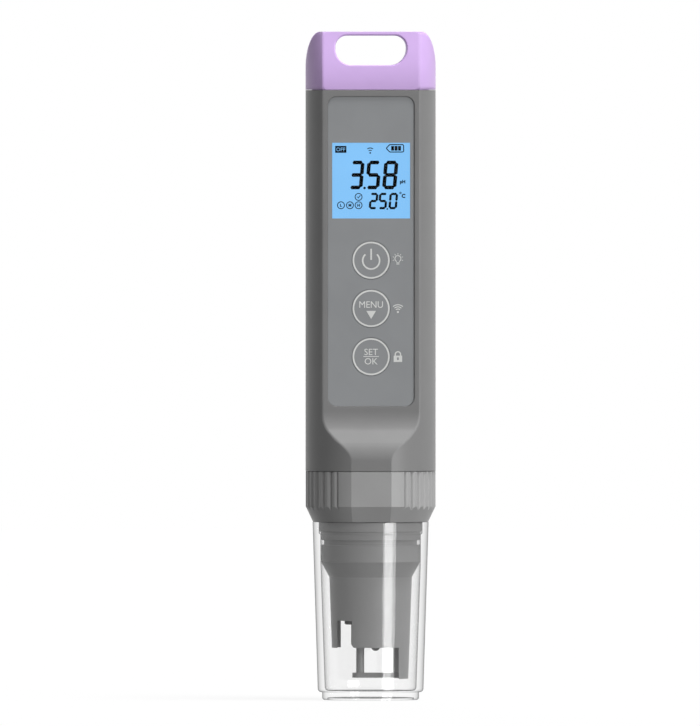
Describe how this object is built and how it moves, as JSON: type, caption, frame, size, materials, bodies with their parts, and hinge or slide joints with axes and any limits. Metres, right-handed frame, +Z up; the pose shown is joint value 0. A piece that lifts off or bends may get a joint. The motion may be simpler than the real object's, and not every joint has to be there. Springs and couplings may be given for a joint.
{
  "type": "pocket water quality tester",
  "caption": "Pen-shaped pocket water tester with a display, keys, lift-off battery cap, screw collar, replaceable probe and clear storage cup.",
  "frame": {"origin": "on the tester's long axis, on the surface that the storage cup's foot stands on", "axes": "+Z up the tester to the battery cap, the flat front with the display faces -Y, +X to the front view's right"},
  "size_m": [0.037, 0.0361, 0.19],
  "materials": {
    "body_plastic": "matte",
    "collar_plastic": "satin",
    "cap_plastic": "satin",
    "overlay_film": "matte",
    "key_film": "matte",
    "window_plastic": "gloss",
    "lcd_glass": "gloss",
    "backlight_plastic": "gloss",
    "strip_rubber": "matte",
    "circuit_board": "satin",
    "component_black": "matte",
    "screw_steel": "satin",
    "shield_steel": "satin",
    "holder_plastic": "matte",
    "cell_jacket": "gloss",
    "spring_steel": "polished",
    "contact_brass": "polished",
    "slip_plastic": "matte",
    "seal_rubber": "matte",
    "socket_plastic": "matte",
    "probe_plastic": "satin",
    "core_plastic": "satin",
    "bulb_glass": "gloss",
    "sensor_black": "satin",
    "sensor_steel": "satin",
    "junction_ceramic": "matte",
    "cup_plastic": "gloss"
  },
  "bodies": {
    "housing": {"housing_shell": "body_plastic", "overlay_panel": "overlay_film", "display_window": "window_plastic", "lcd_panel": "lcd_glass", "lcd_backlight": "backlight_plastic", "lcd_strips": "strip_rubber", "main_board": "circuit_board", "board_screws": "screw_steel", "key_switches": "component_black", "processor_chip": "component_black", "radio_module": "shield_steel", "battery_holder": "holder_plastic", "holder_screws": "screw_steel", "battery_cell_1": "cell_jacket", "battery_cell_2": "cell_jacket", "battery_cell_3": "cell_jacket", "battery_cell_4": "cell_jacket", "cell_springs": "spring_steel", "spring_plates": "contact_brass", "slip_contacts": "contact_brass", "battery_slip": "slip_plastic", "probe_socket": "socket_plastic", "socket_contacts": "contact_brass", "socket_board": "circuit_board", "board_link": "component_black"},
    "cap": {"battery_cap": "cap_plastic", "cap_seal": "seal_rubber"},
    "probe": {"probe_body": "probe_plastic", "sensor_core": "core_plastic", "glass_bulb": "bulb_glass", "conductivity_sensor": "sensor_black", "temperature_sensor": "sensor_steel", "reference_junction": "junction_ceramic", "probe_board": "circuit_board", "probe_plug": "socket_plastic", "probe_pins": "contact_brass", "plug_seal": "seal_rubber", "collar_gasket": "seal_rubber"},
    "collar": {"screw_collar": "collar_plastic"},
    "cup": {"storage_cup": "cup_plastic"},
    "power_button": {"power_key": "key_film"},
    "menu_button": {"menu_key": "key_film"},
    "enter_button": {"enter_key": "key_film"}
  },
  "joints": [
    {"name": "cap_lift", "type": "slide", "parent": "housing", "child": "cap", "axis": [0, 0, 1], "range_m": [0, 0.03]},
    {"name": "probe_drop", "type": "slide", "parent": "housing", "child": "probe", "axis": [0, 0, -1], "range_m": [0, 0.01]},
    {"name": "collar_turn", "type": "hinge", "parent": "probe", "child": "collar", "pos_m": [0, 0, 0.058], "axis": [0, 0, -1], "range_deg": [0, 1441]},
    {"name": "cup_pull", "type": "slide", "parent": "probe", "child": "cup", "axis": [0, 0, -1], "range_m": [0, 0.05]},
    {"name": "power_press", "type": "slide", "parent": "housing", "child": "power_button", "axis": [0, 1, 0], "range_m": [0, 0.0003], "stiffness_N_per_m": 1000, "springref_m": -0.0004},
    {"name": "menu_press", "type": "slide", "parent": "housing", "child": "menu_button", "axis": [0, 1, 0], "range_m": [0, 0.0003], "stiffness_N_per_m": 1000, "springref_m": -0.0004},
    {"name": "enter_press", "type": "slide", "parent": "housing", "child": "enter_button", "axis": [0, 1, 0], "range_m": [0, 0.0003], "stiffness_N_per_m": 1000, "springref_m": -0.0004}
  ],
  "couplings": [
    {"joint": "collar_turn", "follows": "probe_drop", "rad_per_m": 2513.3}
  ]
}
